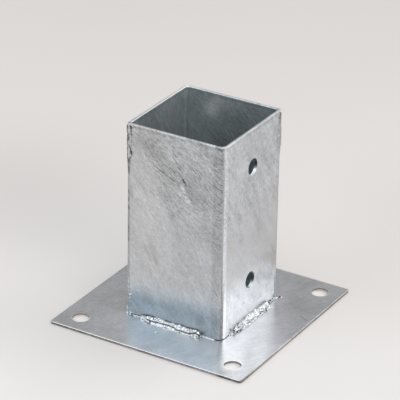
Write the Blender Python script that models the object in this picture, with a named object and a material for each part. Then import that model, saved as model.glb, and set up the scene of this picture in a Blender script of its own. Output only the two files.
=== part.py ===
"""Bolt-down post base: a square socket of two folded steel angles, welded to a square base plate.

Metres, +Z up. The origin is at the middle of the plate's underside. The folded corner of the front
angle points to +X -Y, so the front face looks along -Y and the drilled faces along +X and -X.
"""

import math
import random

import bmesh
import bpy
from mathutils import Matrix, Vector

# Socket
POST_SIDE = 0.070  # the timber post that the socket takes
POST_CLEARANCE = 0.001  # total play between post and socket
SHEET = 0.002  # wall of the folded angles
BEND_INNER_RADIUS = 0.003
SOCKET_HEIGHT = 0.1427  # from the angles' lower edge to the rim
SEAM_GAP = 0.0003  # clearance between each angle's edge and the weld that joins it

# Base plate
PLATE_SIDE = 0.150
PLATE_THICKNESS = 0.002
PLATE_CORNER_RADIUS = 0.0018
SEAT_GAP = 0.0003  # clearance under the angles and around the base welds

# Holes
ANCHOR_HOLE_DIAMETER = 0.012
ANCHOR_HOLE_INSET = 0.015  # from both edges of the plate to the hole's middle
SCREW_HOLE_DIAMETER = 0.012
SCREW_HOLE_ABOVE_SEAT = 0.0302  # lower hole, from the angle's lower edge
SCREW_HOLE_BELOW_RIM = 0.0278  # upper hole, from the rim

# Edges
EDGE_SOFTENING = 0.00035  # the zinc coat rounds every sheared edge

# Fillet welds between socket and plate
WELD_LEG = 0.0033
FRONT_WELD_FROM_SEAM = 0.011  # bare stretch beside the welded corner
FRONT_WELD_FROM_BEND = 0.0155  # bare stretch beside the folded corner
SIDE_WELD_FROM_BEND = 0.0095
SIDE_WELD_FROM_SEAM = 0.0085
WELD_RIPPLE_PITCH = 0.0024
WELD_RIPPLE = 0.16  # depth of the ripples as a share of the leg
WELD_TAPER = 0.004  # length over which each end dies out
WELD_END = 0.3  # height of the very end as a share of the leg

# Corner welds along the two open corners
CORNER_CROWN = 0.0009  # how far the rough stretches stand proud of the sheet
CORNER_VARIATION = 0.5  # share of the crown that comes and goes along the weld
CORNER_LEAST_SWELL = 0.1  # share of the crown that is left in the plain stretch
CORNER_ROUGH_TOP = 0.034  # length of the rough stretch below the rim
CORNER_ROUGH_FOOT = 0.020  # length of the rough stretch above the plate
CORNER_TOP_DROP = 0.0003  # how far the weld ends below the rim
CORNER_FLARE = 0.0012  # how far the tack at the foot spreads further out
CORNER_FLARE_HEIGHT = 0.0035
CORNER_LEAST_LAP = 24  # degrees: a section that would lap the faces by less stays in the groove
CORNER_FLANK = 0.7  # share of a plain section's side at which its spare point lies

# Fineness of the curved shapes
BEND_STEPS = 8
HOLE_SIDES = 32
PLATE_CORNER_STEPS = 4
FILLET_STEPS = 5
CORNER_STEPS = 7
BEAD_STEP = 0.0011  # spacing of a bead's sections
SMOOTH_STEP = 0.004  # spacing of the sections where a corner weld is plain

SOCKET_SIDE = POST_SIDE + POST_CLEARANCE
HALF_SLEEVE = SOCKET_SIDE / 2 + SHEET
HALF_PLATE = PLATE_SIDE / 2
SEAT_Z = PLATE_THICKNESS + SEAT_GAP
RIM_Z = SEAT_Z + SOCKET_HEIGHT
HALF_TURN = Matrix.Rotation(math.pi, 4, "Z")

ZINC = {"colour": (0.60, 0.63, 0.66), "roughness": 0.38, "metallic": 0.85}
PLATE_ZINC = {"colour": (0.52, 0.55, 0.58), "roughness": 0.32, "metallic": 0.85}
WELD_ZINC = {"colour": (0.78, 0.80, 0.82), "roughness": 0.28, "metallic": 0.85}


def clear_scene():
    for obj in list(bpy.data.objects):
        bpy.data.objects.remove(obj, do_unlink=True)


def make_material(name, finish):
    material = bpy.data.materials.new(name)
    material.use_nodes = True
    shader = material.node_tree.nodes["Principled BSDF"]
    shader.inputs["Base Color"].default_value = (*finish["colour"], 1.0)
    shader.inputs["Roughness"].default_value = finish["roughness"]
    shader.inputs["Metallic"].default_value = finish["metallic"]
    return material


def make_object(name, bm, finish):
    """Turn a bmesh into a named object with its own material."""
    bmesh.ops.recalc_face_normals(bm, faces=bm.faces)
    mesh = bpy.data.meshes.new(name)
    bm.to_mesh(mesh)
    bm.free()
    mesh.materials.append(make_material(name + "_zinc", finish))
    mesh.shade_smooth()
    mesh.set_sharp_from_angle(angle=math.radians(35))
    obj = bpy.data.objects.new(name, mesh)
    bpy.context.scene.collection.objects.link(obj)
    return obj


def arc(centre, radius, start_deg, end_deg, steps):
    """Points on a circular arc, both ends included."""
    points = []
    for i in range(steps + 1):
        angle = math.radians(start_deg + (end_deg - start_deg) * i / steps)
        points.append((centre[0] + radius * math.cos(angle), centre[1] + radius * math.sin(angle)))
    return points


def extrude_outline(outline, z_low, z_high):
    """A closed prism over a plan outline."""
    bm = bmesh.new()
    low = [bm.verts.new((x, y, z_low)) for x, y in outline]
    face = bm.faces.new(low)
    lifted = bmesh.ops.extrude_face_region(bm, geom=[face])
    top = [v for v in lifted["geom"] if isinstance(v, bmesh.types.BMVert)]
    bmesh.ops.translate(bm, verts=top, vec=(0, 0, z_high - z_low))
    return bm


def loft(rings):
    """A closed solid through rings of equally many points."""
    bm = bmesh.new()
    rows = [[bm.verts.new(point) for point in ring] for ring in rings]
    for row, following in zip(rows, rows[1:]):
        for i in range(len(row)):
            j = (i + 1) % len(row)
            bm.faces.new((row[i], row[j], following[j], following[i]))
    bm.faces.new(rows[0])
    bm.faces.new(rows[-1])
    return bm


def soften_edges(obj):
    bevel = obj.modifiers.new("softened_edges", "BEVEL")
    bevel.width = EDGE_SOFTENING
    bevel.segments = 2
    bevel.limit_method = "ANGLE"
    bevel.angle_limit = math.radians(50)


def drill(obj, name, diameter, length, centre, axis):
    """Cut a round hole through obj, along axis."""
    bm = bmesh.new()
    bmesh.ops.create_cone(
        bm,
        cap_ends=True,
        segments=HOLE_SIDES,
        radius1=diameter / 2,
        radius2=diameter / 2,
        depth=length,
    )
    mesh = bpy.data.meshes.new(name)
    bm.to_mesh(mesh)
    bm.free()
    cutter = bpy.data.objects.new(name, mesh)
    cutter.location = centre
    cutter.rotation_euler = Vector((0, 0, 1)).rotation_difference(Vector(axis)).to_euler()
    cutter.hide_render = True
    cutter.display_type = "WIRE"
    bpy.context.scene.collection.objects.link(cutter)
    cut = obj.modifiers.new(name, "BOOLEAN")
    cut.operation = "DIFFERENCE"
    cut.solver = "EXACT"
    cut.object = cutter


def build_base_plate():
    """Square plate with rounded corners and an anchor hole in each."""
    inner = HALF_PLATE - PLATE_CORNER_RADIUS
    outline = []
    for quarter, (sx, sy) in enumerate(((1, -1), (1, 1), (-1, 1), (-1, -1))):
        start = -90 + 90 * quarter
        centre = (sx * inner, sy * inner)
        outline += arc(centre, PLATE_CORNER_RADIUS, start, start + 90, PLATE_CORNER_STEPS)
    plate = make_object("base_plate", extrude_outline(outline, 0, PLATE_THICKNESS), PLATE_ZINC)
    soften_edges(plate)
    reach = HALF_PLATE - ANCHOR_HOLE_INSET
    for sx in (-1, 1):
        for sy in (-1, 1):
            name = f"anchor_hole_{'right' if sx > 0 else 'left'}_{'back' if sy > 0 else 'front'}"
            centre = (sx * reach, sy * reach, PLATE_THICKNESS / 2)
            drill(plate, name, ANCHOR_HOLE_DIAMETER, 3 * PLATE_THICKNESS, centre, (0, 0, 1))


def angle_outline():
    """Plan of the front angle: front leg, folded corner at +X -Y, right leg."""
    outer = HALF_SLEEVE
    inner = HALF_SLEEVE - SHEET
    edge = inner - SEAM_GAP
    outer_radius = BEND_INNER_RADIUS + SHEET
    bend = (outer - outer_radius, outer_radius - outer)
    outline = [(-edge, -outer)]
    outline += arc(bend, outer_radius, -90, 0, BEND_STEPS)
    outline += [(outer, edge), (inner, edge)]
    outline += arc(bend, BEND_INNER_RADIUS, 0, -90, BEND_STEPS)
    outline += [(-edge, -inner)]
    return outline


def build_angle(name, side):
    """One folded angle; side is 1 for the front one and -1 for the back one, turned half round."""
    bm = extrude_outline(angle_outline(), SEAT_Z, RIM_Z)
    if side < 0:
        bmesh.ops.transform(bm, matrix=HALF_TURN, verts=bm.verts)
    angle = make_object(name, bm, ZINC)
    soften_edges(angle)
    heights = {"low": SEAT_Z + SCREW_HOLE_ABOVE_SEAT, "high": RIM_Z - SCREW_HOLE_BELOW_RIM}
    for level, height in heights.items():
        centre = (side * (HALF_SLEEVE - SHEET / 2), 0, height)
        drill(angle, f"{name}_screw_hole_{level}", SCREW_HOLE_DIAMETER, 3 * SHEET, centre, (1, 0, 0))


def ripple(seed):
    """A smooth irregular wave between 0 and 1 along a bead, as a function of distance."""
    rng = random.Random(seed)
    waves = [(WELD_RIPPLE_PITCH * rng.uniform(0.85, 1.15), rng.uniform(0, math.tau))]
    waves += [(WELD_RIPPLE_PITCH * k * rng.uniform(0.9, 1.2), rng.uniform(0, math.tau)) for k in (2.3, 4.1)]

    def wave(distance):
        total = sum(math.sin(math.tau * distance / pitch + phase) for pitch, phase in waves)
        return 0.5 + total / (2 * len(waves))

    return wave


def spaced(start, end, step):
    """Evenly spaced stations from start to end, about one step apart."""
    count = max(2, round((end - start) / step))
    return [start + (end - start) * i / count for i in range(count + 1)]


def fillet_section(station, height_leg, plate_leg):
    """Section of a fillet weld on the front face: root, then a crowned arc from plate to wall."""
    wall = -HALF_SLEEVE - SEAT_GAP
    ring = [(station, wall, SEAT_Z)]
    for i in range(FILLET_STEPS + 1):
        turn = math.radians(90 * i / FILLET_STEPS)
        out = plate_leg * math.cos(turn) ** 1.2
        up = height_leg * math.sin(turn) ** 1.2
        ring.append((station, wall - out, SEAT_Z + up))
    return ring


def build_base_weld(name, seed, start, end, turn_deg):
    """Fillet weld at the foot of one face, modelled on the front face and turned into place."""
    up_wave = ripple(seed)
    out_wave = ripple(seed + 50)
    rings = []
    for station in spaced(start, end, BEAD_STEP):
        from_end = min(station - start, end - station)
        swell = WELD_END + (1 - WELD_END) * math.sin(math.pi / 2 * min(1, from_end / WELD_TAPER))
        height_leg = WELD_LEG * swell * (1 + WELD_RIPPLE * (2 * up_wave(station) - 1))
        plate_leg = WELD_LEG * swell * (1 + WELD_RIPPLE * (2 * out_wave(station) - 1))
        rings.append(fillet_section(station, height_leg, plate_leg))
    bm = loft(rings)
    turn = Matrix.Rotation(math.radians(turn_deg), 4, "Z")
    bmesh.ops.transform(bm, matrix=turn, verts=bm.verts)
    make_object(name, bm, WELD_ZINC)


def corner_radius(height, wave):
    """Radius of the corner weld about its root: the sheet's own where plain, more where rough."""
    below_rim = (RIM_Z - height) / CORNER_ROUGH_TOP
    above_foot = (height - SEAT_Z) / CORNER_ROUGH_FOOT
    swell = max(CORNER_LEAST_SWELL, math.cos(math.pi / 2 * min(1, below_rim, above_foot)) ** 0.5)
    crown = CORNER_CROWN * (1 - CORNER_VARIATION * wave(height))
    flare = CORNER_FLARE * max(0, 1 - (height - SEAT_Z) / CORNER_FLARE_HEIGHT) ** 2
    return SHEET + crown * swell + flare


def corner_section(radius, height):
    """Section of a corner weld: a sector about its root that laps the faces where it stands proud."""
    root = SHEET - HALF_SLEEVE
    lap = math.degrees(math.acos(min(1, (SHEET + SEAM_GAP) / radius)))
    if lap >= CORNER_LEAST_LAP:
        flank = SHEET + SEAM_GAP
    else:
        lap = 0
        flank = CORNER_FLANK * radius
    plan = [(root, root), (root - flank, root)]
    plan += arc((root, root), radius, 180 - lap, 270 + lap, CORNER_STEPS)
    plan += [(root, root - flank)]
    return [(x, y, height) for x, y in plan]


def corner_stations():
    """Section heights of a corner weld, close together only where it is rough."""
    foot_top = SEAT_Z + CORNER_ROUGH_FOOT
    top_start = RIM_Z - CORNER_ROUGH_TOP
    heights = spaced(SEAT_Z, foot_top, BEAD_STEP)
    heights += spaced(foot_top, top_start, SMOOTH_STEP)[1:]
    heights += spaced(top_start, RIM_Z - CORNER_TOP_DROP, BEAD_STEP)[1:]
    return heights


def build_corner_weld(name, seed, turn_deg):
    """Weld that fills the open corner at -X -Y, a quarter round that swells at both ends."""
    wave = ripple(seed)
    bm = loft([corner_section(corner_radius(height, wave), height) for height in corner_stations()])
    turn = Matrix.Rotation(math.radians(turn_deg), 4, "Z")
    bmesh.ops.transform(bm, matrix=turn, verts=bm.verts)
    make_object(name, bm, WELD_ZINC)


def build_welds():
    front = (FRONT_WELD_FROM_SEAM - HALF_SLEEVE, HALF_SLEEVE - FRONT_WELD_FROM_BEND)
    side = (SIDE_WELD_FROM_BEND - HALF_SLEEVE, HALF_SLEEVE - SIDE_WELD_FROM_SEAM)
    build_base_weld("base_weld_front", 11, *front, 0)
    build_base_weld("base_weld_right", 12, *side, 90)
    build_base_weld("base_weld_back", 13, *front, 180)
    build_base_weld("base_weld_left", 14, *side, 270)
    build_corner_weld("corner_weld_left", 23, 0)
    build_corner_weld("corner_weld_right", 22, 180)


clear_scene()
build_base_plate()
build_angle("front_angle", 1)
build_angle("back_angle", -1)
build_welds()
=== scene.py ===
"""Looks of a galvanised steel post base: zinc-coated sheet, plate and weld beads, in a plain pale studio."""
import math
from types import SimpleNamespace

import bmesh
import bpy
import numpy as np
from mathutils import Matrix, Vector


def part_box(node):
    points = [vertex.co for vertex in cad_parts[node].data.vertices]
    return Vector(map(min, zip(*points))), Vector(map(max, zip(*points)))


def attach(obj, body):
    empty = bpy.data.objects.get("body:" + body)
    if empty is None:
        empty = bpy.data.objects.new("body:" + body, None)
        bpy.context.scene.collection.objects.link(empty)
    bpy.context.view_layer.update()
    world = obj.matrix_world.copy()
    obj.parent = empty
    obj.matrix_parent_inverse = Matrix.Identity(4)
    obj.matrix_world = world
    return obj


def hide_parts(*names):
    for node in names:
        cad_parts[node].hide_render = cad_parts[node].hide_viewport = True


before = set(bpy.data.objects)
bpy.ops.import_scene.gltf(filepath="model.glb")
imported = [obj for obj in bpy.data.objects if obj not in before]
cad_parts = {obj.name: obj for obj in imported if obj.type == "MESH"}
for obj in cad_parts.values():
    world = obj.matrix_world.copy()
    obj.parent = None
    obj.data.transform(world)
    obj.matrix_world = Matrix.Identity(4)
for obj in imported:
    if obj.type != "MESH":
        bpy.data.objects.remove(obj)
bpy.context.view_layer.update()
scene = bpy.context.scene
scene.view_settings.view_transform = "Standard"


def measure(node, corner, axis):
    """A coordinate of a solid's lowest corner, 0, or highest corner, 1, to a micrometre."""
    return round(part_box(node)[corner][axis], 6)


# Sizes of the part that the looks follow, in metres. The anchor holes lie ANCHOR from the middle, each way.
HALF_PLATE = measure("base_plate", 1, 0)
PLATE_TOP = measure("base_plate", 1, 2)
HALF_SLEEVE = measure("front_angle", 1, 0)
FOOT = measure("front_angle", 0, 2)
RIM = measure("front_angle", 1, 2)
SHEET = 0.002
INNER = HALF_SLEEVE - SHEET
HOLE_RADIUS = 0.006
SCREW_LOW, SCREW_HIGH = 0.0325, 0.1172
ANCHOR = HALF_PLATE - 0.015

# Level directions that the shades on the plate and the floor follow
RIGHTWARDS = (0.86, 0.51)
FORWARDS = (0.51, -0.86)
AWAY = (-0.51, 0.86)


# Camera at the photograph's viewing angle

def build_camera():
    frame_px, focal_px, sensor = 400, 2577.13, 36
    azimuth, elevation, roll = (math.radians(value) for value in (30.69, 26.44, 0.97))
    distance, shift_right, shift_up, target_height = 1.7538, -0.00238, 0.03151, 0.04737
    right = Vector((math.cos(azimuth), math.sin(azimuth), 0))
    back = Vector((math.sin(azimuth) * math.cos(elevation), -math.cos(azimuth) * math.cos(elevation),
                   math.sin(elevation)))
    up = back.cross(right)
    target = right * shift_right + up * shift_up + Vector((0, 0, target_height))
    turned_right = right * math.cos(roll) + up * math.sin(roll)
    turned_up = up * math.cos(roll) - right * math.sin(roll)
    data = bpy.data.cameras.new("camera")
    data.sensor_width = sensor
    data.sensor_height = sensor
    data.sensor_fit = "HORIZONTAL"
    data.lens = focal_px * sensor / frame_px
    data.clip_start = 0.05
    data.clip_end = 50
    camera = bpy.data.objects.new("camera", data)
    scene.collection.objects.link(camera)
    turn = Matrix((turned_right, turned_up, back)).transposed().to_4x4()
    camera.matrix_world = Matrix.Translation(target + back * distance) @ turn
    scene.camera = camera


# Shader graphs written as arithmetic

class Graph:
    """Makes shader nodes. A value is a number or the output of a node."""

    def __init__(self, tree):
        self.tree = tree

    def node(self, kind, **settings):
        made = self.tree.nodes.new(kind)
        for name, value in settings.items():
            setattr(made, name, value)
        return made

    def put(self, value, socket):
        if isinstance(value, bpy.types.NodeSocket):
            self.tree.links.new(value, socket)
        else:
            socket.default_value = value

    def math(self, operation, a, b=0.0):
        made = self.node("ShaderNodeMath", operation=operation)
        self.put(a, made.inputs[0])
        self.put(b, made.inputs[1])
        return made.outputs[0]

    def add(self, *values):
        total = values[0]
        for value in values[1:]:
            total = self.math("ADD", total, value)
        return total

    def less(self, a, b):
        return self.math("SUBTRACT", a, b)

    def times(self, *values):
        total = values[0]
        for value in values[1:]:
            total = self.math("MULTIPLY", total, value)
        return total

    def larger(self, a, b):
        return self.math("MAXIMUM", a, b)

    def size(self, value):
        """The value without its sign."""
        return self.math("ABSOLUTE", value)

    def reach(self, a, b):
        """How far a place is that lies a along and b across."""
        return self.math("SQRT", self.add(self.times(a, a), self.times(b, b)))

    def project(self, u, v, direction):
        """How far along a direction a place lies."""
        return self.add(self.times(u, direction[0]), self.times(v, direction[1]))

    def ramp(self, value, low, high, to_low=0.0, to_high=1.0, smooth=True):
        made = self.node("ShaderNodeMapRange", interpolation_type="SMOOTHSTEP" if smooth else "LINEAR")
        made.clamp = True
        for place, item in enumerate((value, low, high, to_low, to_high)):
            self.put(item, made.inputs[place])
        return made.outputs[0]

    def band(self, value, low, high, soft):
        """One between low and high, falling to nought over the softness on either side."""
        rise = self.ramp(value, low - soft, low + soft)
        fall = self.ramp(value, high - soft, high + soft, 1, 0)
        return self.times(rise, fall)

    def mix(self, share, a, b):
        made = self.node("ShaderNodeMix", data_type="FLOAT")
        self.put(share, made.inputs[0])
        self.put(a, made.inputs[2])
        self.put(b, made.inputs[3])
        return made.outputs[0]

    def mix_colour(self, share, a, b):
        made = self.node("ShaderNodeMix", data_type="RGBA")
        self.put(share, made.inputs[0])
        self.put(a if isinstance(a, bpy.types.NodeSocket) else (*a, 1), made.inputs[6])
        self.put(b if isinstance(b, bpy.types.NodeSocket) else (*b, 1), made.inputs[7])
        return made.outputs[2]

    def scale_colour(self, colour, factor):
        made = self.node("ShaderNodeVectorMath", operation="SCALE")
        self.put(colour, made.inputs[0])
        self.put(factor, made.inputs["Scale"])
        return made.outputs[0]

    def vector(self, x, y, z):
        made = self.node("ShaderNodeCombineXYZ")
        for place, item in enumerate((x, y, z)):
            self.put(item, made.inputs[place])
        return made.outputs[0]

    def parts(self, vector):
        made = self.node("ShaderNodeSeparateXYZ")
        self.put(vector, made.inputs[0])
        return made.outputs

    def dot(self, a, b):
        made = self.node("ShaderNodeVectorMath", operation="DOT_PRODUCT")
        self.put(a, made.inputs[0])
        self.put(b, made.inputs[1])
        return made.outputs["Value"]

    def noise(self, vector, scale, detail, roughness):
        """Noise about nought, from about -0.5 to 0.5."""
        made = self.node("ShaderNodeTexNoise")
        self.put(vector, made.inputs["Vector"])
        made.inputs["Scale"].default_value = scale
        made.inputs["Detail"].default_value = detail
        made.inputs["Roughness"].default_value = roughness
        return self.less(made.outputs[0], 0.5)

    def streaks(self, u, v, depth, degrees, across, along, detail, roughness, seed):
        """Noise drawn out along a direction of the face, with so many features per metre each way."""
        turn = math.radians(degrees)
        run = self.project(u, v, (math.cos(turn), math.sin(turn)))
        side = self.project(u, v, (-math.sin(turn), math.cos(turn)))
        layer = self.add(self.times(depth, 40), seed)
        at = self.vector(self.times(run, along), self.times(side, across), layer)
        return self.noise(at, 1, detail, roughness)

    def segment(self, u, v, start, end, width, soft):
        """One on a straight mark from start to end, falling to nought over the softness."""
        start, end = Vector(start), Vector(end)
        run = (end - start).normalized()
        middle = (start + end) / 2
        from_middle = self.less(u, middle.x), self.less(v, middle.y)
        along = self.project(*from_middle, run)
        side = self.project(*from_middle, (-run.y, run.x))
        beyond = self.larger(self.less(self.size(along), (end - start).length / 2), 0)
        return self.ramp(self.reach(beyond, side), width / 2, width / 2 + soft, 1, 0)

    def marks(self, u, v, rows, joined="ADD"):
        """Straight marks: the start, end, width, softness and strength of each."""
        total = 0.0
        for start, end, width, soft, strength in rows:
            mark = self.times(self.segment(u, v, start, end, width, soft), strength)
            total = self.math(joined, total, mark)
        return total


def new_material(name):
    material = bpy.data.materials.new(name)
    material.use_nodes = True
    material.node_tree.nodes.clear()
    graph = Graph(material.node_tree)
    shader = graph.node("ShaderNodeBsdfPrincipled")
    output = graph.node("ShaderNodeOutputMaterial")
    graph.put(shader.outputs[0], output.inputs["Surface"])
    return material, graph, shader


def bump(graph, shader, height, distance):
    made = graph.node("ShaderNodeBump")
    made.inputs["Distance"].default_value = distance
    graph.put(height, made.inputs["Height"])
    graph.put(made.outputs[0], shader.inputs["Normal"])


def place_and_facing(graph):
    at = graph.parts(graph.node("ShaderNodeTexCoord").outputs["Object"])
    facing = graph.parts(graph.node("ShaderNodeNewGeometry").outputs["Normal"])
    return at, facing


def from_anchor(g, x, y):
    """How far a place is from the middle of the nearest anchor hole."""
    return g.reach(g.less(g.size(x), ANCHOR), g.less(g.size(y), ANCHOR))


# Galvanised sheet of the sleeve

# Scratches, smudges and flecks of the front face: start and end, each as a place along the wall and a
# height, then width, softness and strength. A mark with a negative strength is lighter than the face.
FRONT_MARKS = (
    ((-0.0112, 0.1169), (-0.0003, 0.1120), 0.0004, 0.0008, 0.34),
    ((-0.0194, 0.1217), (-0.0112, 0.1169), 0.0004, 0.0008, 0.18),
    ((-0.0124, 0.1248), (-0.0028, 0.1183), 0.0004, 0.0007, 0.16),
    ((0.0063, 0.1148), (0.0087, 0.1110), 0.0007, 0.0009, 0.46),
    ((-0.0272, 0.1368), (0.0235, 0.1012), 0.0030, 0.0065, 0.11),
    ((-0.0116, 0.1020), (-0.0020, 0.0855), 0.0012, 0.0035, 0.10),
    ((-0.0020, 0.0855), (0.0030, 0.0700), 0.0012, 0.0035, 0.08),
    ((0.0215, 0.0125), (0.0255, 0.0040), 0.0035, 0.0050, 0.20),
    ((0.0009, 0.1253), (0.0063, 0.1230), 0.0008, 0.0012, 0.24),
    ((0.0028, 0.1332), (0.0038, 0.1328), 0.0010, 0.0015, 0.20),
    ((0.0051, 0.1100), (0.0075, 0.1061), 0.0010, 0.0010, -0.30),
    ((0.0087, 0.1023), (0.0106, 0.0999), 0.0010, 0.0012, -0.26),
    ((-0.0348, 0.0985), (-0.0338, 0.0930), 0.0012, 0.0022, 0.16),
    ((-0.0224, 0.0575), (-0.0188, 0.0480), 0.0008, 0.0018, 0.16),
    ((-0.0190, 0.0590), (-0.0138, 0.0475), 0.0008, 0.0020, 0.14),
)

# The same for the drilled faces: small marks, and soft bluish smears
SIDE_MARKS = (
    ((-0.0072, 0.0180), (-0.0070, 0.0178), 0.0005, 0.0006, 0.60),
    ((-0.0062, 0.0212), (-0.0050, 0.0222), 0.0002, 0.0005, 0.18),
    ((0.0120, 0.0300), (0.0285, 0.0250), 0.0020, 0.0060, 0.17),
)
SIDE_SMEARS = (
    ((-0.0253, 0.1004), (-0.0154, 0.0829), 0.0016, 0.0045, 0.13),
    ((-0.0313, 0.0897), (-0.0135, 0.0686), 0.0020, 0.0050, 0.13),
    ((0.0014, 0.0922), (0.0106, 0.0688), 0.0030, 0.0070, 0.09),
    ((-0.0170, 0.0560), (-0.0060, 0.0440), 0.0020, 0.0060, 0.06),
)


def sleeve_face(g):
    """Where a point of the sleeve is, which way it faces, and the noises that its finish is made of."""
    (x, y, z), (nx, _, nz) = place_and_facing(g)
    sideways = g.size(nx)
    side = g.ramp(sideways, 0.66, 0.92)
    plain = g.less(1, side)
    u = g.mix(side, x, y)
    depth = g.mix(side, y, x)
    low = g.ramp(z, 0.045, 0.100, 1, 0)

    def swept(degrees, across, along, detail, roughness, seeds):
        """Streaks that stand steeper low on the wall than high on it."""
        upper, lower = (g.streaks(u, z, depth, turn, across, along, detail, roughness, seed)
                        for turn, seed in zip(degrees, seeds))
        return g.mix(low, upper, lower)

    spot = g.vector(u, z, depth)
    return SimpleNamespace(
        x=x, y=y, z=z, nz=nz, u=u, depth=depth, sideways=sideways, side=side, plain=plain,
        folded=g.ramp(g.times(x, y), 0, -0.0001),
        fine=swept((-37, -56), 1050, 260, 3, 0.7, (1.3, 4.1)),
        broad=swept((-40, -60), 110, 42, 3, 0.6, (7.7, 2.9)),
        scores=g.ramp(swept((-39, -58), 1500, 110, 1, 0.5, (5.9, 8.2)), 0.10, 0.24),
        cloud=g.noise(spot, 45, 3, 0.6),
        mottle=g.noise(spot, 420, 3, 0.7),
        sand=g.noise(spot, 1300, 2, 0.7),
        grain=g.noise(g.vector(x, y, z), 900, 2, 0.7),
        side_fine=g.streaks(u, z, depth, -66, 620, 230, 3, 0.65, 5.5),
        side_cloud=g.streaks(u, z, depth, -54, 190, 52, 3, 0.6, 3.3))


def front_tone(g, face):
    """The plain faces: crisp slanting scratches, which are worn coarser beyond a slanting line."""
    x, z = face.x, face.z
    scored = g.ramp(g.add(g.times(face.broad, 2.2), g.times(face.cloud, 1.5)), -0.35, 0.35)
    cross = g.streaks(face.u, z, face.depth, 40, 1500, 260, 2, 0.6, 9.3)
    near_bend = g.times(g.ramp(face.u, 0.004, 0.028), face.plain)
    beyond = g.add(x, g.times(z, 0.4625), g.times(face.broad, 0.012), -0.0342)
    worn = g.times(g.ramp(beyond, -0.012, 0.004), g.ramp(z, 0.060, 0.100))
    crisp = g.add(g.times(face.fine, 0.90), g.times(face.scores, scored, -0.42), g.times(face.sand, 0.62))
    crispness = g.add(g.ramp(z, 0.045, 0.085, 0.78, 1.0), g.times(worn, 0.60))
    up_the_wall = g.ramp(z, 0.03, 0.13, 0.09, -0.05)
    beyond_line = g.times(g.ramp(beyond, -0.007, 0.007), g.ramp(z, 0.035, 0.085, -0.03, -0.11))
    by_left_corner = g.times(g.ramp(x, -0.034, -0.022, -0.06, 0), g.band(z, 0.045, 0.105, 0.012))
    return g.add(g.times(crisp, crispness), g.times(face.broad, 0.60), g.times(face.cloud, 0.24),
                 g.times(face.mottle, 0.36), g.times(cross, near_bend, 0.40), up_the_wall, beyond_line,
                 by_left_corner)


def side_tone(g, face):
    """The drilled faces: softer, steeper streaks, liveliest near the rim and the foot."""
    y, z = face.y, face.z
    streaks = g.add(g.times(face.side_fine, 0.46), g.times(face.side_cloud, 0.48),
                    g.times(face.mottle, 0.40), g.times(face.sand, 0.40))
    lively = g.add(g.ramp(z, 0.075, 0.095, 0.55, 1.60), g.ramp(z, 0.030, 0.050, 0.55, 0))
    # Painted reflection low on the face: lighter towards the fold, darker towards the far edge.
    foot = g.times(g.ramp(z, 0.02, 0.05, 0.17, 0), g.ramp(y, -0.026, 0.030, 1, -0.6))
    near_bend = g.times(g.ramp(z, 0.035, 0.060), g.ramp(y, -0.024, 0.004, 0.115, 0.045))
    # Painted light on the wall just above the weld, lifting the weld's shade.
    painted_light_above_weld = g.times(g.band(y, 0.0000, 0.0180, 0.005), g.ramp(z, 0.005, 0.015, 0.20, 0))
    return g.add(g.times(streaks, lively), g.times(face.cloud, 0.30), 0.02, foot, near_bend, painted_light_above_weld)


def front_marks(g, face):
    """The marks of the front face, broken up by its streaks."""
    marks = g.marks(face.x, face.z, FRONT_MARKS)
    on_front = g.ramp(face.y, 0.0003 - HALF_SLEEVE, 0.0007 - HALF_SLEEVE, 1, 0)
    return g.times(marks, on_front, g.ramp(g.add(face.fine, face.mottle), -0.22, 0.16, 0.15, 1.4))


def side_marks(g, face):
    """The marks and smears of the drilled faces."""
    marks = g.marks(face.y, face.z, SIDE_MARKS)
    smears = g.marks(face.y, face.z, SIDE_SMEARS, "MAXIMUM")
    broken = g.ramp(g.add(face.side_fine, face.side_cloud), -0.20, 0.16, 1.3, 0.25)
    return g.times(g.add(marks, g.times(smears, broken)), face.side)


def bend_tones(g, face):
    """Where a fold turns to the light, its painted highlight there, and the painted shade stripe beside it.
    """
    x, y, z, sideways = face.x, face.y, face.z, face.sideways
    light_from = g.ramp(z, 0.030, 0.140, 0.895, 0.765, smooth=False)
    turning = g.add(g.less(sideways, light_from), g.times(face.grain, 0.05))
    bend = g.times(g.ramp(turning, -0.02, 0.02), g.ramp(g.size(y), 0.0308, 0.0338), face.folded,
                   g.ramp(face.nz, 0.3, 0.6, 1, 0))
    strength = g.add(g.ramp(z, 0.02, 0.05, 0.80, 0.40), g.ramp(z, 0.050, 0.110, 0, -0.26),
                     g.times(face.grain, 1.2))
    on_face = g.times(g.band(x, 0.0295, 0.0362, 0.0010), g.ramp(sideways, 0.68, 0.82, 1, 0),
                      g.ramp(z, 0.02, 0.12, 0.17, 0.14))
    deep = g.add(g.ramp(z, 0.010, 0.050, 0.58, 0.30), g.ramp(z, 0.050, 0.085, 0, -0.15))
    on_bend = g.times(g.ramp(sideways, 0.59, 0.69), g.ramp(turning, -0.02, 0.02, 1, 0), face.folded, deep)
    return bend, g.times(bend, strength), g.larger(on_face, on_bend)


def hole_light(g, face):
    """The walls of the screw holes: painted light below, where they face up, and painted shade above."""
    z = face.z
    rise = g.less(z, g.mix(g.ramp(z, 0.0745, 0.0755), SCREW_LOW, SCREW_HIGH))
    reach = g.reach(face.y, rise)
    in_hole = g.times(g.ramp(reach, HOLE_RADIUS - 0.0002, HOLE_RADIUS),
                      g.ramp(reach, HOLE_RADIUS + 0.0001, HOLE_RADIUS + 0.0007, 1, 0),
                      g.ramp(g.size(face.x), INNER - 0.0003, INNER + 0.0001))
    lit = g.ramp(g.add(rise, g.ramp(z, 0.07, 0.08, 0.0019, 0.0011)), -0.0034, 0.0004, 1.0, -0.45)
    return g.times(in_hole, g.mix(face.side, lit, 0.16))


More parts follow.
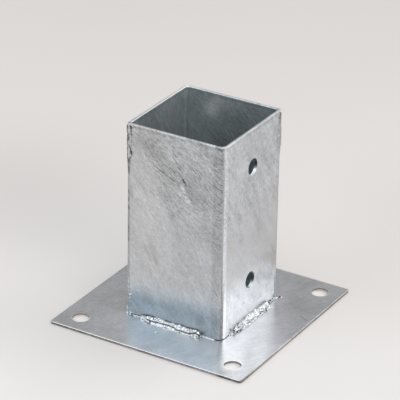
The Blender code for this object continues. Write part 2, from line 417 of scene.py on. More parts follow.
def sleeve_colour(g, face, level, bend, inside, marks):
    """Neutral zinc that drifts to blue, cooler on the folds, with a painted dark bluish reflection at the
    foot of the plain faces.
    """
    x, z, plain = face.x, face.z, face.plain
    drift = g.ramp(g.add(face.cloud, g.times(face.broad, 0.6), g.times(marks, 0.9)), -0.20, 0.25)
    tint = g.mix_colour(drift, (0.554, 0.560, 0.566), (0.541, 0.559, 0.584))
    leaning = g.mix_colour(g.ramp(x, -0.034, 0.030), (0.562, 0.560, 0.554), (0.537, 0.558, 0.583))
    tint = g.mix_colour(g.times(plain, 0.55), tint, leaning)
    cooler = g.times(face.side, g.ramp(z, 0.030, 0.130, 0, 0.85))
    tint = g.mix_colour(g.larger(bend, cooler), tint, (0.538, 0.562, 0.592))
    tint = g.mix_colour(g.ramp(inside, 0, 0.3), tint, (0.528, 0.564, 0.573))
    # Painted reflection: the foot of the plain faces is darker and bluer, up to a slanting top.
    foot_top = g.ramp(x, -0.020, 0.012, 0.0280, 0.0305)
    foot = g.times(g.ramp(z, 0.015, foot_top, 1, 0), plain)
    foot_reflection_tint = g.mix_colour(g.ramp(x, -0.030, 0.010), (0.300, 0.338, 0.362), (0.272, 0.300, 0.318))
    foot_reflection_tint = g.mix_colour(g.ramp(z, 0.004, 0.012, 0.6, 0), foot_reflection_tint, (0.292, 0.310, 0.322))
    return g.scale_colour(g.mix_colour(foot, tint, foot_reflection_tint), level)


def sleeve_zinc():
    material, g, shader = new_material("sleeve_zinc")
    face = sleeve_face(g)
    x_size, y_size = g.size(face.x), g.size(face.y)
    bend, bend_light, stripe = bend_tones(g, face)
    marks = side_marks(g, face)
    inside = g.ramp(g.larger(x_size, y_size), INNER + 0.0001, INNER + 0.0005, 0.30, 0)
    rim = g.ramp(face.z, RIM - 0.0006, RIM - 0.0001)
    under_rim = g.band(face.z, RIM - 0.0024, RIM - 0.0009, 0.0005)
    at_bend = g.times(face.folded, g.ramp(x_size, 0.016, 0.032), g.ramp(y_size, 0.016, 0.032))
    # The rim's top carries a painted highlight, lighter still at the folds.
    level = g.add(1.0, g.mix(face.side, front_tone(g, face), side_tone(g, face)), bend_light,
                  hole_light(g, face), g.times(rim, g.mix(at_bend, 0.34, 0.62)), g.times(face.grain, 0.16),
                  g.times(under_rim, -0.15), inside)
    level = g.less(level, g.add(front_marks(g, face), marks, stripe))
    g.put(sleeve_colour(g, face, level, bend, inside, marks), shader.inputs["Base Color"])
    shader.inputs["Metallic"].default_value = 0.9
    gloss = g.add(0.305, g.times(face.cloud, 0.12), g.times(face.fine, 0.10), g.times(rim, 0.12))
    g.put(g.larger(gloss, 0.285), shader.inputs["Roughness"])
    height = g.add(g.times(face.fine, 0.30), g.times(face.cloud, 0.9), g.times(face.grain, 0.04))
    bump(g, shader, height, 0.00010)
    return material


# Galvanised plate

# Marks on its top: start and end in its plane, then width, softness and strength
PLATE_MARKS = (
    ((0.0655, 0.0225), (0.0722, 0.0195), 0.0003, 0.0007, 0.30),
    ((-0.0052, -0.0500), (-0.0048, -0.0501), 0.0005, 0.0006, 0.50),
    ((0.0430, 0.0440), (0.0630, 0.0335), 0.0060, 0.0090, 0.07),
)


def plate_face(g):
    """Where a point of the plate is, which way it faces, and the noises that its finish is made of."""
    (x, y, z), (nx, _, nz) = place_and_facing(g)
    spot = g.vector(x, y, z)
    return SimpleNamespace(
        x=x, y=y, z=z, spot=spot,
        top=g.ramp(g.size(nz), 0.5, 0.9),
        side=g.ramp(nz, 0.35, 0.15),
        rounded=g.band(nz, 0.30, 0.88, 0.06),
        end_face=g.ramp(g.size(nx), 0.20, 0.45),
        from_hole=from_anchor(g, x, y),
        fine=g.streaks(x, y, z, 62, 520, 110, 3, 0.6, 2.2),
        broad=g.streaks(x, y, z, 75, 95, 42, 3, 0.6, 6.4),
        cloud=g.noise(spot, 55, 3, 0.6),
        grain=g.noise(spot, 900, 2, 0.7),
        mottle=g.noise(spot, 360, 3, 0.7))


def plate_tone(g, face):
    """The coat's faint streaks and its sandy mottle, which is stronger at the left."""
    stronger = g.ramp(face.x, -0.045, 0.000, 1.7, 1.0)
    return g.add(g.times(face.fine, 0.34), g.times(face.broad, 0.38), g.times(face.cloud, 0.36),
                 g.times(face.grain, 0.26, stronger), g.times(face.mottle, 0.26, stronger))


def cut_tone(g, face):
    """The cut edges and the walls of the anchor holes, and the rounding between them and the top."""
    x, y, z = face.x, face.y, face.z
    front_hole = g.times(g.ramp(x, -0.01, 0.01), g.ramp(y, -0.01, 0.01, 1, 0))
    # Painted reflection of the floor: the hole walls are lighter low down and darker above.
    hole_wall = g.mix(front_hole, g.ramp(z, 0.0009, 0.0013, -0.35, 0.62),
                      g.ramp(z, 0.0002, 0.0008, -0.10, 0.66))
    long_edge = g.add(g.ramp(z, 0.0009, 0.0013, 0.50, 0.74), g.times(g.noise(face.spot, 650, 1, 0.5), 0.5))
    edge = g.mix(face.end_face, long_edge, g.ramp(z, 0.0004, 0.0012, 0.52, 0.22))
    beyond_hole = g.ramp(face.from_hole, HOLE_RADIUS + 0.0015, HOLE_RADIUS + 0.0035)
    cut = g.mix(beyond_hole, hole_wall, edge)
    uneven = g.add(1.0, g.times(g.noise(g.vector(x, y, g.times(z, 0.3)), 700, 2, 0.6), 1.2))
    # A painted highlight along the rounded edges of the front and back sides, and painted shade along those
    # of the left and right sides.
    rounding = g.times(face.rounded, g.mix(face.end_face, 0.80, -0.62), uneven)
    return g.add(rounding, g.times(face.side, cut, -1.0))


def glow_tone(g, face):
    """The light that the front wall throws on the plate ahead of it."""
    x, y = face.x, face.y
    near_edge = g.ramp(x, -0.022, -0.004, 0.30, 0.03)
    left = g.times(g.ramp(x, -0.062, 0.004), g.ramp(y, -0.0720, -0.0430, near_edge, 0.58))
    return g.add(left, g.ramp(x, 0.002, 0.016, 0.03, 0.17))


def plate_zinc():
    material, g, shader = new_material("plate_zinc")
    face = plate_face(g)
    x, y, top = face.x, face.y, face.top
    right = g.project(x, y, RIGHTWARDS)
    forwards = g.project(x, y, FORWARDS)

    # Painted light and shade on top, as the sleeve and the room leave them, and painted highlight and shade
    # lines along the holes and the edges
    past_sleeve = g.less(right, 0.0514)
    painted_light_past_sleeve = g.times(g.band(past_sleeve, -0.001, 0.009, 0.006), g.ramp(x, 0.030, 0.038))
    shade = g.times(g.band(past_sleeve, -0.008, -0.001, 0.003), g.ramp(x, 0.036, 0.040))
    ahead = g.times(g.ramp(y, -0.0400, -0.0355, 1, 0), g.ramp(right, 0.0090, 0.0125, 1, 0))
    corner = g.times(g.ramp(x, 0.036, 0.070), g.ramp(y, -0.030, -0.046))
    tip = g.times(g.ramp(forwards, 0.078, 0.096, 0, -0.32), g.ramp(right, 0.0085, 0.0135))
    by_wall = g.times(g.ramp(x, 0.0390, 0.0480, -0.13, 0), g.band(y, -0.033, 0.003, 0.006),
                      g.ramp(x, HALF_SLEEVE - 0.0003, HALF_SLEEVE + 0.0001))
    by_end = g.times(g.ramp(x, 0.0560, 0.0680), g.band(y, -0.032, -0.012, 0.008))
    middle = g.ramp(g.larger(g.size(x), g.size(y)), INNER - 0.0005, INNER + 0.0001, 1, 0)
    # Painted highlights round the holes and along the front and back edges, and a painted shade line along
    # the ends.
    hole_rim_highlight = g.band(face.from_hole, HOLE_RADIUS, HOLE_RADIUS + 0.0005, 0.0002)
    edge_highlight = g.times(g.ramp(g.size(y), HALF_PLATE - 0.0009, HALF_PLATE - 0.0005), top)
    end_shade_line = g.times(g.ramp(g.size(x), HALF_PLATE - 0.0013, HALF_PLATE - 0.0006), top)

    level = g.add(1.0, plate_tone(g, face), cut_tone(g, face), g.times(hole_rim_highlight, top, 0.30), g.times(painted_light_past_sleeve, 0.12),
                  g.times(shade, -0.09), g.times(ahead, glow_tone(g, face)), g.times(corner, 0.13),
                  g.times(edge_highlight, 0.26), g.times(end_shade_line, -0.16), g.times(middle, top, 0.42),
                  g.times(tip, g.add(1.0, g.times(face.mottle, 3.0))), by_wall, g.times(by_end, 0.13))
    level = g.less(level, g.marks(x, y, PLATE_MARKS))

    drift = g.ramp(g.add(face.cloud, g.times(face.broad, 0.7)), -0.22, 0.22)
    tint = g.mix_colour(drift, (0.606, 0.630, 0.648), (0.612, 0.618, 0.652))
    # Tints of the painted light: bluish past the sleeve's outline, greyer at the right front, and warm on
    # the edge highlights.
    tint = g.mix_colour(g.times(painted_light_past_sleeve, 0.8), tint, (0.620, 0.620, 0.672))
    tint = g.mix_colour(g.times(corner, 0.8), tint, (0.612, 0.630, 0.638))
    warm = g.larger(g.times(face.rounded, 0.8), g.times(edge_highlight, 0.7))
    tint = g.mix_colour(warm, tint, (0.660, 0.635, 0.610))
    clean = g.scale_colour(tint, level)
    cut_colour = g.scale_colour((0.50, 0.45, 0.40), level)
    g.put(g.mix_colour(g.times(face.side, 0.8), clean, cut_colour), shader.inputs["Base Color"])
    shader.inputs["Metallic"].default_value = 0.9
    gloss = g.add(0.285, g.times(face.cloud, 0.10), g.times(face.fine, 0.06), g.times(g.less(1, top), 0.15))
    g.put(g.larger(gloss, 0.283), shader.inputs["Roughness"])
    height = g.add(g.times(face.fine, 0.20), g.times(face.cloud, 0.9), g.times(face.grain, 0.06))
    bump(g, shader, height, 0.00008)
    return material


# Zinc-coated weld metal

def weld_zinc():
    """Clean metal takes the wall's tone or shines, as the skin's "bright" says, and its pits and the painted
    shade of its hollows are dark.
    """
    material, g, shader = new_material("weld_zinc")
    at = g.node("ShaderNodeTexCoord").outputs["Object"]
    z = g.parts(at)[2]
    pit = g.node("ShaderNodeAttribute", attribute_name="pit").outputs["Fac"]
    bright = g.node("ShaderNodeAttribute", attribute_name="bright").outputs["Fac"]
    grain = g.noise(at, 1400, 3, 0.6)
    blotch = g.noise(at, 350, 2, 0.6)
    level = g.add(0.91, g.times(grain, 0.45), g.times(blotch, 0.45))
    # Low down, the wall's tone takes the painted dark bluish reflection of the sleeve's foot.
    wall_tone_and_foot_reflection = g.mix_colour(g.ramp(z, 0.014, 0.0265, 1, 0), (0.560, 0.572, 0.590), (0.330, 0.372, 0.400))
    clean = g.scale_colour(g.mix_colour(bright, wall_tone_and_foot_reflection, (0.925, 0.940, 0.955)), level)
    # The pit layer carries dark pits and cracks, and painted shade in the hollows.
    hollow = g.mix_colour(g.ramp(z, 0.080, 0.110), (0.055, 0.058, 0.062), (0.100, 0.086, 0.070))
    g.put(g.mix_colour(pit, clean, hollow), shader.inputs["Base Color"])
    shader.inputs["Metallic"].default_value = 1
    gloss = g.add(g.mix(bright, 0.38, 0.26), g.times(grain, 0.12), g.times(pit, 0.35))
    g.put(g.larger(gloss, 0.283), shader.inputs["Roughness"])
    bump(g, shader, g.add(grain, blotch), 0.00010)
    return material


# Relief of the welds' skins

def smoothstep(value, low, high):
    share = np.clip((value - low) / (high - low), 0, 1)
    return share * share * (3 - 2 * share)


def dome(run, reach):
    """Rises from nearly nought at an end to one at the reach, as the side of a round end does."""
    part = np.clip(run / reach, 0.0, 1.0)
    return 0.06 + 0.94 * np.sqrt(1 - (1 - part) ** 2)


def ripple(beat):
    """Rises from nought to one and falls again between each whole number and the next."""
    part = beat - np.floor(beat)
    return 1 - (2 * part - 1) ** 2


def hump(turn, middle, width):
    """A soft hump across the section, about a direction in degrees."""
    return np.exp(-((turn - middle) / width) ** 2)


def eased_knots(count, spacing):
    """For each place of a row, the knot before it and the eased share of the way to the next."""
    at = np.arange(count) / spacing
    whole = at.astype(int)
    part = at - whole
    return whole, part * part * (3 - 2 * part)


class Skin:
    """Smooth random values over a weld's skin, drawn from one seed in the order of the calls."""

    def __init__(self, seed, rows, columns, step):
        self.rng = np.random.default_rng(seed)
        self.rows, self.columns, self.step = rows, columns, step

    def wander(self, spacing):
        """A value from -1 to 1 for each row, with a knot every spacing, in metres."""
        spacing = spacing / self.step
        knots = self.rng.uniform(-1, 1, int(self.rows / spacing) + 4)
        whole, part = eased_knots(self.rows, spacing)
        return (knots[whole] * (1 - part) + knots[whole + 1] * part)[:, None]

    def field(self, spacing, columns_apart, extra_columns=0):
        """The same over rows and columns, with knots so many columns apart."""
        spacing, columns = spacing / self.step, self.columns + extra_columns
        knots = self.rng.uniform(-1, 1, (int(self.rows / spacing) + 4, int(columns / columns_apart) + 4))
        row, row_part = eased_knots(self.rows, spacing)
        column, part = eased_knots(columns, columns_apart)
        row, row_part = row[:, None], row_part[:, None]
        near = knots[row, column] * (1 - part) + knots[row, column + 1] * part
        far = knots[row + 1, column] * (1 - part) + knots[row + 1, column + 1] * part
        return near * (1 - row_part) + far * row_part


# Pieces of weld metal

def add_piece(name, mesh, material, layers):
    """A piece on the part's body, with a value for each of its points in each named layer."""
    mesh.shade_smooth()
    for label, values in layers.items():
        layer = mesh.attributes.new(label, "FLOAT", "POINT")
        layer.data.foreach_set("value", np.clip(values, 0, 1).reshape(-1).astype(np.float32))
    mesh.materials.append(material)
    piece = bpy.data.objects.new(name, mesh)
    scene.collection.objects.link(piece)
    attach(piece, "root")
    return piece


def grid_piece(name, points, pits, bright, material, replaced=None):
    """A closed skin over a grid of points: rows run along the piece, columns go round its section."""
    rows, columns = points.shape[:2]
    mesh = bpy.data.meshes.new(name)
    faces = []
    for i in range(rows - 1):
        for j in range(columns):
            k = (j + 1) % columns
            faces.append((i * columns + j, i * columns + k, (i + 1) * columns + k, (i + 1) * columns + j))
    faces.append(tuple(range(columns)))
    faces.append(tuple((rows - 1) * columns + j for j in reversed(range(columns))))
    mesh.from_pydata(points.reshape(-1, 3).tolist(), [], faces)
    shell = bmesh.new()
    shell.from_mesh(mesh)
    bmesh.ops.recalc_face_normals(shell, faces=shell.faces)
    shell.to_mesh(mesh)
    shell.free()
    piece = add_piece(name, mesh, material, {"pit": pits, "bright": bright + 0 * pits})
    if replaced:
        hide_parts(replaced)


def with_root(values, root):
    """Adds a first column, for the inner corner of the section, which sheet and plate hide."""
    return np.concatenate([np.full((values.shape[0], 1), float(root)), values], axis=1)


def along_wall(start, along, out, s, across, height):
    """Points that lie s along a wall, across from it and up from the plate."""
    return (np.array(start) + s[:, :, None] * np.array(along) + across[:, :, None] * np.array(out)
            + height[:, :, None] * np.array((0.0, 0.0, 1.0)))


def fillet_relief(skin, s, turn, length, leg, blunt):
    """The bead's radius round its section, and the ripples, lumps and grains that its skin has."""
    phi = np.radians(turn)
    ends = dome(s, 0.0160 - 0.0180 * blunt) * dome(length - s, 0.0012 + 0.0030 * blunt)
    growth = 1 - 0.10 * (1 - 2 * blunt) * (1 - s / length)
    size = leg * ends * growth * (1 + 0.08 * skin.wander(0.004))
    plain = size / (np.cos(phi) + np.sin(phi)) * (1 + 0.24 * np.sin(2 * phi))
    pitch = 0.0021
    beat = s / pitch + 0.45 * skin.wander(0.003) - 0.55 * np.cos(2 * phi - math.pi / 2)
    scallop = ripple(beat + 0.22 * skin.field(0.0012, 4))
    swell = ends * np.sin(2 * phi) ** 0.4 * (1 + 0.6 * skin.field(0.003, 6))
    lumps = skin.field(0.0010, 3.0)
    fine = skin.field(0.0005, 1.6)
    radius = plain + swell * (0.00040 * (scallop - 0.5) + 0.00040 * lumps + 0.00026 * fine)
    return radius, ends, scallop, lumps, fine


def fillet_pits(skin, s, turn, length, relief, seam, crack, blunt):
    """The dark places: painted shade between ripples and along the crevice above, and dark metal in pits, in
    the crack, and where an end is rough.
    """
    scallop, lumps, fine = relief
    sound = 1 - crack
    valley = smoothstep(0.16 - scallop, 0, 0.14) * smoothstep(lumps + 0.5 * fine, 0.1, -0.5)
    holes = smoothstep(skin.field(0.0013, 2.6) + 0.3 * fine, 0.55, 0.85)
    crevice = smoothstep(turn, 70 + 6 * skin.wander(0.0035), 82) * (0.25 + 0.75 * crack)
    crevice = crevice * smoothstep(skin.wander(0.0016), -0.95 + 0.4 * sound, -0.1)
    split = hump(turn, seam + 13 * skin.wander(0.0045), 8.5) * (0.3 + 0.7 * crack)
    split = split * smoothstep(skin.wander(0.0024), -1.3 + 0.5 * sound, -0.6 + 0.5 * sound)
    split = split * smoothstep(s, 0.0035, 0.0085)
    close = smoothstep(s, length - 0.0055, length - 0.0025) * smoothstep(length - s, 0, 0.0012)
    begin = smoothstep(0.0110 - s, 0, 0.0040) * smoothstep(s, 0.0010, 0.0040)
    rough_end = np.maximum(2.2 * blunt * close, 1.3 * (1 - 2 * blunt) * begin)
    swirl = rough_end * smoothstep(skin.field(0.0009, 2.6), -0.1, 0.5)
    return np.clip(0.75 * valley + holes + 0.9 * crevice + split + 0.9 * swirl, 0, 1)


def base_bead(name, node, start, along, out, seed, material, length, leg, seam, crack, blunt, bright):
    """A rippled fillet bead at the sleeve's foot, with a ragged crevice above it and a crack along it."""
    step, columns = 0.0002, 19
    rows = int(length / step) + 1
    s = np.linspace(0, length, rows)[:, None]
    turn = np.linspace(0, 90, columns)[None, :]
    phi = np.radians(turn)
    skin = Skin(seed, rows, columns, step)
    radius, ends, *relief = fillet_relief(skin, s, turn, length, leg, blunt)
    pits = fillet_pits(skin, s, turn, length, relief, seam, crack, blunt)
    toe = smoothstep(12 - turn, 0, 12) * 0.0004 * (1 + skin.wander(0.0018))
    radius = radius + toe * ends - 0.00045 * ends * pits * np.sin(2 * phi) ** 0.3
    across = with_root(radius * np.cos(phi) - 0.00006, -0.0003)
    height = with_root(radius * np.sin(phi) - 0.00006, -0.0003)
    points = along_wall(start, along, out, s, across, height)
    patches = 0.40 * skin.field(0.0009, 2.4, 1)
    grid_piece(name, points, with_root(pits, 0), bright + patches, material, node)


# Single drops on the corner welds: height, direction in degrees, how proud and how tall
CORNER_DROPS = (
    (0.0265, 40, 0.0004, 0.0020),
    (0.0225, 20, 0.0004, 0.0016),
    (0.0178, 62, 0.0005, 0.0006),
    (0.0066, 14, 0.0006, 0.0013),
)


def corner_relief(skin, z, turn, low, high, dark):
    """How far the corner weld stands out of its groove: proud beads and, at the foot, a tack."""
    rough_top = smoothstep(z, high - 0.036, high - 0.022)
    rough_foot = smoothstep(low + 0.030 - z, 0, 0.016) * dark
    rough = np.maximum(rough_top, 0.75 * rough_foot) * smoothstep(high - z, 0.0003, 0.0016)
    rough = rough * (0.65 + 0.35 * smoothstep(skin.wander(0.007), -0.9, 0.3))
    pitch = 0.0026
    scallop = ripple(z / pitch + 0.5 * skin.wander(0.004) + 0.5 * np.cos(np.radians(turn)))
    lumps = skin.field(0.0015, 4.0)
    fine = skin.field(0.0006, 2.0)
    proud = rough * (0.00070 + 0.00012 * (scallop - 0.4) + 0.00026 * lumps + 0.00010 * fine)
    plain = 0.00003 + 0.00004 * skin.field(0.004, 6)
    tack = smoothstep(low + 0.0042 - z, 0, 0.0038) * (0.0005 + 0.0006 * lumps + 0.0003 * fine) * dark
    for height, place, proud_by, tall in CORNER_DROPS:
        wide = 0.0009
        round_it = np.radians(turn - place) * SHEET / wide
        tack = tack + proud_by * np.exp(-(((z - height) / tall) ** 2 + round_it ** 2))
    shape = 0.9 + 0.9 * (turn / 100) ** 2
    radius = SHEET + (proud + tack) * shape + plain
    return radius, tack, rough_top, rough, scallop, lumps, fine


def corner_marks(skin, z, turn, high, dark, relief):
    """The corner weld's pits, painted shade in its hollows and where it meets the walls, a painted dark
    reflection line along it, and the bright places of its rough stretches.
    """
    tack, rough_top, rough, scallop, lumps, fine = relief
    above_foot = smoothstep(z, 0.0210, 0.0300)
    holes = smoothstep(skin.field(0.0013, 2.6), 0.45, 0.80) * np.maximum(rough, tack * 500)
    edge = smoothstep(np.abs(turn), 70, 84) * smoothstep(skin.wander(0.0018), -0.6, 0.3)
    winding = 34 * skin.wander(0.0040)
    seams = 0
    for place in (-58, 58):
        kept = smoothstep(skin.wander(0.0022), -0.95, -0.1)
        seams = np.maximum(seams, hump(turn, place + 0.9 * winding, 10) * kept)
    speckle = smoothstep(fine, 0.15, 0.60) * smoothstep(lumps, 0.3, -0.3) * rough_top
    valley = smoothstep(0.14 - scallop, 0, 0.12) * smoothstep(lumps, 0.2, -0.4) * rough
    pits = (0.65 * holes + 0.45 * edge * rough + 0.5 * valley + 1.1 * seams * above_foot * rough
            + 0.5 * speckle)
    pits = np.clip(pits, 0, 1)
    # A painted dark reflection along the bead's side.
    line = hump(turn, 32 * (1 - rough_top), 31 - 5 * rough_top)
    line = line * (0.42 + 0.44 * rough_top + 0.30 * skin.wander(0.003))
    line = line * smoothstep(high - z, 0.0010, 0.0024)
    line = line * (0.06 + 0.24 * above_foot + 0.70 * smoothstep(z, 0.050, 0.066))
    foot_line = hump(turn, 18, 17) * (1 - above_foot) * (0.6 + 0.4 * skin.wander(0.0012))
    bright = (0.5 * dark * smoothstep(z, high - 0.0014, high - 0.0006) + 0.10 * rough
              + 0.80 * dark * smoothstep(tack, 0.0001, 0.0006)
              + 0.25 * dark * smoothstep(fine, 0.3, 0.8) * rough + 0.85 * foot_line * dark)
    return pits, line, bright


def corner_bead(name, node, turn_deg, seed, material, dark):
    """The weld in an open corner: rough beads below the rim and above the foot, plain between them. One that
    is less dark, as a share of one, has fewer pits and a plainer foot.
    """
    step, columns = 0.0003, 27
    low, high = FOOT - 0.0002, RIM - 0.0001
    rows = int((high - low) / step) + 1
    z = np.linspace(low, high, rows)[:, None]
    turn = np.linspace(-101, 101, columns)[None, :]
    skin = Skin(seed, rows, columns, step)
    radius, *relief = corner_relief(skin, z, turn, low, high, dark)
    pits, line, bright = corner_marks(skin, z, turn, high, dark, relief)
    rough = relief[2]
    radius = radius - 0.0003 * pits * rough
    darkness = dark + 0.6 * (1 - dark) * smoothstep(z, high - 0.014, high - 0.008)
    pits = np.clip(pits + line, 0, 1) * darkness
    groove = SHEET - HALF_SLEEVE
    facing = np.radians(turn - 135)
    x = with_root(groove + radius * np.cos(facing), groove + 0.0003)
    y = with_root(groove + radius * np.sin(facing), groove + 0.0003)
    turned = math.radians(turn_deg)
    points = np.stack([x * math.cos(turned) - y * math.sin(turned),
                       x * math.sin(turned) + y * math.cos(turned), z + 0 * x], axis=2)
    grid_piece(name, points, with_root(pits, 0), with_root(bright, 0), material, node)


def foot_bead(name, start, along, out, length, seed, material, broken):
    """The thin, uneven zinc run in the angle between a wall's foot and the plate, broken here and there."""
    step, columns, size = 0.0002, 7, 0.0006
    rows = int(length / step) + 1
    s = np.linspace(0, length, rows)[:, None]
    phi = np.radians(np.linspace(0, 90, columns))[None, :]
    skin = Skin(seed, rows, columns, step)
    strength = smoothstep(skin.wander(0.0014), broken - 1.0, broken - 0.2)
    ends = smoothstep(s, 0, 0.0012) * smoothstep(length - s, 0, 0.0012)
    radius = size * (0.35 + 0.75 * strength * ends + 0.15 * skin.field(0.0007, 3))
    pits = (1 - strength) * 0.75 + 0 * phi
    across = with_root(radius * np.cos(phi) - 0.00005, -0.0002)
    height = with_root(radius * np.sin(phi) - 0.00005, -0.0002)
    points = along_wall(start, along, out, s, across, height)
    grid_piece(name, points, with_root(pits, 0), 0.8, material)


def zinc_drops():
    """Place, size, brightness and darkness of each drop: one ahead of the front weld, a trail past the right
    one, and a few by the other ends."""
    rng = np.random.default_rng(27)
    w, t = HALF_SLEEVE, PLATE_TOP
    drops = [((-0.0063, -0.0493, t), 0.00055, 1.0, 0.0)]
    count, turn_at = 24, 0.6
    for step in range(count):
        share = step / (count - 1)
        if share < turn_at:
            x, y = w + rng.uniform(-0.0001, 0.0010), 0.0258 + 0.0092 * share / turn_at
            lift = 0.0012 * rng.uniform(0, 1)
        else:
            past_turn = (share - turn_at) / (1 - turn_at)
            x, y = w + 0.0028 * past_turn, 0.0355 + 0.0040 * past_turn
            x, y = x + rng.uniform(-0.0004, 0.0004), y + rng.uniform(-0.0006, 0.0006)
            lift = 0.0
        pit = rng.choice((0.0, 0.0, 0.9))
        drops.append(((x, y, t + lift), rng.uniform(0.0003, 0.0008), rng.choice((0.5, 1.0)), pit))
    left_foot = (-0.0345, -w - 0.0008, t), (-0.0262, -w, t + 0.0008)
    front_end = (0.0208, -w - 0.0032, t), (0.0238, -w - 0.0004, t + 0.0022)
    right_start = (w + 0.0003, -0.0242, t + 0.0004), (w + 0.0026, -0.0195, t + 0.0022)
    for (low, high), count, dark in ((left_foot, 12, 0.25), (front_end, 10, 0.60), (right_start, 9, 0.75)):
        for _ in range(count):
            place = tuple(rng.uniform(a, b) for a, b in zip(low, high))
            drops.append((place, rng.uniform(0.00030, 0.00065), 1.0, 0.95 * (rng.uniform(0, 1) < dark)))
    return drops


def spatter(name, drops, seed, material):
    """Small uneven drops of zinc."""
    rng = np.random.default_rng(seed)
    mesh = bpy.data.meshes.new(name)
    shell = bmesh.new()
    shades, pits = [], []
    for place, size, bright, pit in drops:
        made = bmesh.ops.create_icosphere(shell, subdivisions=2, radius=1)["verts"]
        stretch = Vector([size * rng.uniform(*span) for span in ((0.8, 1.3), (0.8, 1.3), (0.6, 0.9))])
        for vertex in made:
            vertex.co = Vector(place) + vertex.co * stretch * (1 + 0.12 * rng.uniform(-1, 1))
        shades += [bright] * len(made)
        pits += [pit] * len(made)
    shell.to_mesh(mesh)
    shell.free()
    add_piece(name, mesh, material, {"pit": np.array(pits), "bright": np.array(shades)})


# The dressed part

# The two kinds of fillet: its size, how many degrees up from the plate its crack runs and how open that is,
# how blunt its first end is, and how bright the metal
FRONT_BEAD = dict(length=0.0485, leg=0.0040, seam=27, crack=1.0, blunt=0.5, bright=1.0)
RIGHT_BEAD = dict(length=0.0490, leg=0.0042, seam=12, crack=0.35, blunt=0.0, bright=0.66)


def on_plate(half, start, along, out):
    """A place on the plate and two directions, turned half round for the part's second half."""
    sign = -1 if half else 1
    return ((sign * start[0], sign * start[1], PLATE_TOP), (sign * along[0], sign * along[1], 0),
            (sign * out[0], sign * out[1], 0))


def build_welds(weld):
    """Welds and zinc runs of two walls, the same turned half round, the corner welds and the drops."""
    w = HALF_SLEEVE
    along_front, along_right = ((1, 0), (0, -1)), ((0, 1), (1, 0))
    fillets = (
        (("front", "back"), (-0.0265, -w), along_front, FRONT_BEAD),
        (("right", "left"), (w, -0.0254), along_right, RIGHT_BEAD),
    )
    for half in (0, 1):
        for place, (walls, start, directions, shape) in enumerate(fillets):
            wall, seed = walls[half], 31 + 11 * place + 22 * half
            base_bead(wall + "_fillet", "base_weld_" + wall, *on_plate(half, start, *directions), seed, weld,
                      **shape)
    corner_bead("left_corner_bead", "corner_weld_left", 0, 75, weld, 1.0)
    corner_bead("right_corner_bead", "corner_weld_right", 180, 88, weld, 0.35)
    runs = (
        ("front", (-0.0360, -w), along_front, 0.0100, 0.0),
        ("front_bend", (0.0215, -w), along_front, 0.0115, 0.0),
        ("right_bend", (w, -0.0335), along_right, 0.0090, 0.7),
        ("right", (w, 0.0242), along_right, 0.0118, 0.5),
    )
    for half, ending in ((0, ""), (1, "_behind")):
        for place, (label, start, directions, length, broken) in enumerate(runs):
            foot_bead("zinc_run_" + label + ending, *on_plate(half, start, *directions), length,
                      90 + place + 10 * half, weld, broken)
    spatter("zinc_spatter", zinc_drops(), 28, weld)


def build_object():
    sleeve, plate, weld = sleeve_zinc(), plate_zinc(), weld_zinc()
    wear = {"base_plate": plate, "front_angle": sleeve, "back_angle": sleeve}
    for name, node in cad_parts.items():
        node.data.materials.clear()
        node.data.materials.append(wear.get(name, weld))
    build_welds(weld)


# Studio: a wide pale floor under a soft sky with large light panels

def floor_material():
    material, g, shader = new_material("studio_floor")
    x, y, _ = g.parts(g.node("ShaderNodeTexCoord").outputs["Object"])
    right = g.project(x, y, RIGHTWARDS)
    away = g.project(x, y, AWAY)
    # Painted light near the left front and under the anchor holes, a painted shadow behind on the left, and
    # a darker patch behind on the right.
    painted_light_near_left = g.times(g.ramp(right, -0.16, 0.02, 1, 0), g.ramp(away, -0.12, 0.02, 1, 0))
    painted_shadow_behind_left = g.times(g.ramp(right, -0.14, 0.00, 1, 0), g.band(away, 0.10, 0.26, 0.10))
    behind_right = g.times(g.ramp(right, 0.06, 0.16), g.band(away, 0.02, 0.22, 0.08))
    painted_light_below_hole = g.ramp(from_anchor(g, x, y), 0.011, 0.014, 1, 0)
    cloud = g.noise(g.vector(x, y, 0.0), 5, 1, 0.5)
    level = g.add(1.0, g.times(cloud, 0.03), g.times(painted_light_near_left, 0.10), g.times(painted_shadow_behind_left, -0.12),
                  g.times(behind_right, -0.05), g.times(painted_light_below_hole, 0.16))
    colour = g.mix_colour(g.ramp(away, -0.25, 0.75), (0.752, 0.723, 0.708), (0.616, 0.582, 0.560))
    g.put(g.scale_colour(colour, level), shader.inputs["Base Color"])
    shader.inputs["Roughness"].default_value = 0.9
    shader.inputs["Specular IOR Level"].default_value = 0.1
    return material


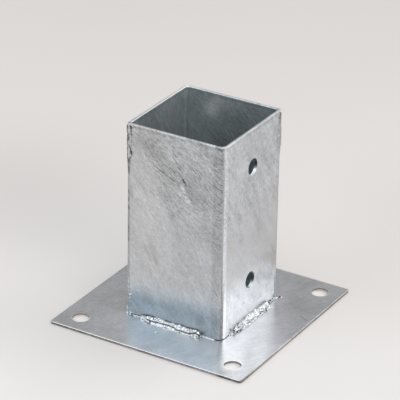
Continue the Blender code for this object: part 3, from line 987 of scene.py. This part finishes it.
def build_floor():
    radius, height, corners = 8, -0.00005, 96
    turns = [math.tau * i / corners for i in range(corners)]
    ring = [(radius * math.cos(turn), radius * math.sin(turn), height) for turn in turns]
    mesh = bpy.data.meshes.new("studio_floor")
    mesh.from_pydata(ring, [], [tuple(range(corners))])
    mesh.materials.append(floor_material())
    floor = bpy.data.objects.new("studio_floor", mesh)
    scene.collection.objects.link(floor)


def build_sky():
    """A grey sky, lighter overhead, with two tall panels on the right and a cool light at the left front."""
    world = bpy.data.worlds.new("studio")
    scene.world = world
    world.use_nodes = True
    world.node_tree.nodes.clear()
    g = Graph(world.node_tree)
    towards = g.node("ShaderNodeTexCoord").outputs["Generated"]
    x, y, z = g.parts(towards)
    level_part = g.math("SQRT", g.less(1, g.times(z, z)))
    height = g.times(g.ramp(z, 0.08, 0.22), g.ramp(z, 0.64, 0.84, 1, 0))
    soft_edge, full_edge = math.cos(math.radians(45)), math.cos(math.radians(19))
    lights = []
    for azimuth, dimmer_low, colour in ((60, (0.25, 0.50, 0.51, 1.19), (2.00, 2.00, 1.99)),
                                        (-36, (0.30, 0.55, 0.45, 1.14), (2.10, 2.10, 2.08))):
        turn = math.radians(azimuth)
        around = g.math("DIVIDE", g.project(x, y, (math.cos(turn), math.sin(turn))), level_part)
        panel = g.times(g.ramp(around, soft_edge, full_edge), height, g.ramp(z, *dimmer_low))
        lights.append((panel, colour))
    cool = g.ramp(g.dot(towards, Vector((-0.457, -0.770, 0.445))), 0.72, 0.95)
    lights.append((cool, (0.66, 0.82, 0.95)))
    total = g.mix_colour(g.ramp(z, 0.55, 0.95), (0.417, 0.413, 0.411), (0.95, 0.94, 0.93))
    for share, colour in lights:
        lit = g.node("ShaderNodeVectorMath", operation="MULTIPLY_ADD")
        for place, value in enumerate((colour, share, total)):
            g.put(value, lit.inputs[place])
        total = lit.outputs[0]
    back = g.node("ShaderNodeBackground")
    output = g.node("ShaderNodeOutputWorld")
    g.put(total, back.inputs["Color"])
    back.inputs["Strength"].default_value = 1
    g.put(back.outputs[0], output.inputs["Surface"])


build_camera()
build_object()
build_floor()
build_sky()
